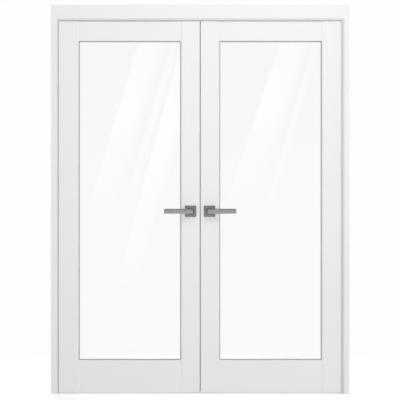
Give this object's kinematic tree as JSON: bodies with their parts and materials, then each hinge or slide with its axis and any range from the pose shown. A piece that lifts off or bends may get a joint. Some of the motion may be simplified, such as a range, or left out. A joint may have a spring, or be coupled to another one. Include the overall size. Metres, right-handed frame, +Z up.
{
  "type": "french doors",
  "caption": "Pair of white-painted glazed doors hung in their own frame, with satin lever handles, a latch and a top bolt.",
  "frame": {"origin": "on the floor under the middle of the frame's width and of the leaves' thickness", "axes": "+X to the right seen from the front, +Y to the back, the way the leaves open, +Z up"},
  "size_m": [1.634, 0.16, 2.13],
  "materials": {
    "white_paint": "white satin paint",
    "clear_glass": "clear float glass",
    "seal_rubber": "matt, pale grey",
    "satin_nickel": "satin nickel",
    "hinge_steel": "satin",
    "plated_steel": "zinc plated"
  },
  "bodies": {
    "frame": {"left_jamb": "white_paint", "right_jamb": "white_paint", "head_jamb": "white_paint", "left_stop": "white_paint", "right_stop": "white_paint", "head_stop": "white_paint", "left_stop_seal": "seal_rubber", "right_stop_seal": "seal_rubber", "head_stop_seal": "seal_rubber", "left_frame_hinge_leaves": "hinge_steel", "right_frame_hinge_leaves": "hinge_steel", "hinge_pins": "hinge_steel", "frame_screws": "hinge_steel", "bolt_keeper": "satin_nickel", "frame_corner_screws": "hinge_steel"},
    "left_leaf": {"left_hinge_stile": "white_paint", "left_lock_stile": "white_paint", "left_top_rail": "white_paint", "left_bottom_rail": "white_paint", "left_glass": "clear_glass", "left_glazing_seals": "seal_rubber", "left_glazing_beads": "white_paint", "left_door_hinge_leaves": "hinge_steel", "left_hinge_screws": "hinge_steel", "left_front_rosette": "satin_nickel", "left_back_rosette": "satin_nickel", "left_rosette_bolts": "plated_steel", "left_bolt_case": "plated_steel", "left_faceplate": "satin_nickel", "left_faceplate_screws": "hinge_steel", "left_meeting_seal": "seal_rubber"},
    "right_leaf": {"right_hinge_stile": "white_paint", "right_lock_stile": "white_paint", "right_top_rail": "white_paint", "right_bottom_rail": "white_paint", "right_glass": "clear_glass", "right_glazing_seals": "seal_rubber", "right_glazing_beads": "white_paint", "right_door_hinge_leaves": "hinge_steel", "right_hinge_screws": "hinge_steel", "right_front_rosette": "satin_nickel", "right_back_rosette": "satin_nickel", "right_rosette_bolts": "plated_steel", "right_latch_case": "plated_steel", "right_faceplate": "satin_nickel", "right_faceplate_screws": "hinge_steel", "right_meeting_seal": "seal_rubber"},
    "left_lever": {"left_front_lever": "satin_nickel", "left_back_lever": "satin_nickel", "left_spindle": "plated_steel", "left_hub": "plated_steel", "left_grub_screws": "plated_steel"},
    "right_lever": {"right_front_lever": "satin_nickel", "right_back_lever": "satin_nickel", "right_spindle": "plated_steel", "right_hub": "plated_steel", "right_grub_screws": "plated_steel"},
    "left_top_bolt": {"left_top_bolt": "plated_steel"},
    "right_latch": {"right_latch_bolt": "plated_steel"}
  },
  "joints": [
    {"name": "left_swing", "type": "hinge", "parent": "frame", "child": "left_leaf", "pos_m": [-0.7835, 0.0265, 1], "axis": [0, 0, 1], "range_deg": [0, 110]},
    {"name": "right_swing", "type": "hinge", "parent": "frame", "child": "right_leaf", "pos_m": [0.7835, 0.0265, 1], "axis": [0, 0, -1], "range_deg": [0, 110]},
    {"name": "left_lever_turn", "type": "hinge", "parent": "left_leaf", "child": "left_lever", "pos_m": [-0.052, 0, 1], "axis": [0, -1, 0], "range_deg": [0, 45], "stiffness_Nm_per_rad": 2, "springref_deg": -57.3},
    {"name": "right_lever_turn", "type": "hinge", "parent": "right_leaf", "child": "right_lever", "pos_m": [0.052, 0, 1], "axis": [0, 1, 0], "range_deg": [0, 45], "stiffness_Nm_per_rad": 2, "springref_deg": -57.3},
    {"name": "left_bolt_slide", "type": "slide", "parent": "left_leaf", "child": "left_top_bolt", "axis": [0, 0, -1], "range_m": [0, 0.0123]},
    {"name": "right_latch_slide", "type": "slide", "parent": "right_leaf", "child": "right_latch", "axis": [1, 0, 0], "range_m": [0, 0.0123]}
  ],
  "couplings": [
    {"joint": "left_bolt_slide", "follows": "left_lever_turn", "m_per_rad": 0.015592},
    {"joint": "right_latch_slide", "follows": "right_lever_turn", "m_per_rad": 0.015592}
  ]
}
